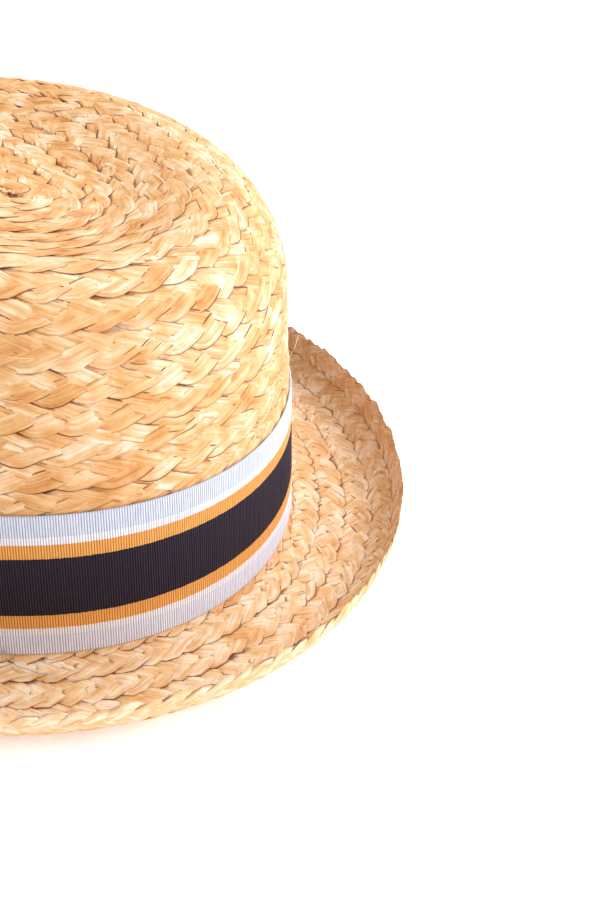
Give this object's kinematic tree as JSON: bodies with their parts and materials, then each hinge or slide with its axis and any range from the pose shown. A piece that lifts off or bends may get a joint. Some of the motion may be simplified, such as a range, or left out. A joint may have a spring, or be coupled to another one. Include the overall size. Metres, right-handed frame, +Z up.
{
  "type": "straw boater hat",
  "caption": "Straw hat with an oval flat-topped crown sewn from raffia braid, a turned-up brim, a striped ribbon with a flat bow and an inner sweatband.",
  "frame": {"origin": "on the surface that the hat stands on, under the middle of its bounding box", "axes": "+Z up; the hat's front faces -Y, so +Y is the back; +X is the wearer's left, where the bow is"},
  "size_m": [0.227, 0.2736, 0.0964],
  "materials": {
    "straw": "woven natural raffia braid, semi-matt",
    "ribbon": "ribbed grosgrain, striped in navy, ochre, white and pale blue-grey",
    "sweatband": "cotton grosgrain, matt",
    "thread": "cotton sewing thread",
    "tack_thread": "grey translucent sewing thread",
    "wire": "plain drawn wire"
  },
  "bodies": {
    "root": {"bow_keeper": "ribbon", "bow_loops": "ribbon", "bow_tails": "ribbon", "brim_course_1": "straw", "brim_course_2": "straw", "brim_course_3": "straw", "brim_course_4": "straw", "brim_wire": "wire", "ribbon_band": "ribbon", "ribbon_tacks": "tack_thread", "rim_course": "straw", "seam_thread": "thread", "shoulder_course_lower": "straw", "shoulder_course_upper": "straw", "side_course_01": "straw", "side_course_02": "straw", "side_course_03": "straw", "side_course_04": "straw", "side_course_05": "straw", "side_course_06": "straw", "side_course_07": "straw", "side_course_08": "straw", "side_course_09": "straw", "side_course_10": "straw", "sweatband": "sweatband", "sweatband_join_tape": "sweatband", "sweatband_stitches": "thread", "tip_course_1": "straw", "tip_course_2": "straw", "tip_course_3": "straw", "tip_course_4": "straw", "tip_course_5": "straw", "tip_course_6": "straw", "tip_start_coil": "straw", "wire_sleeve": "wire"}
  },
  "joints": []
}
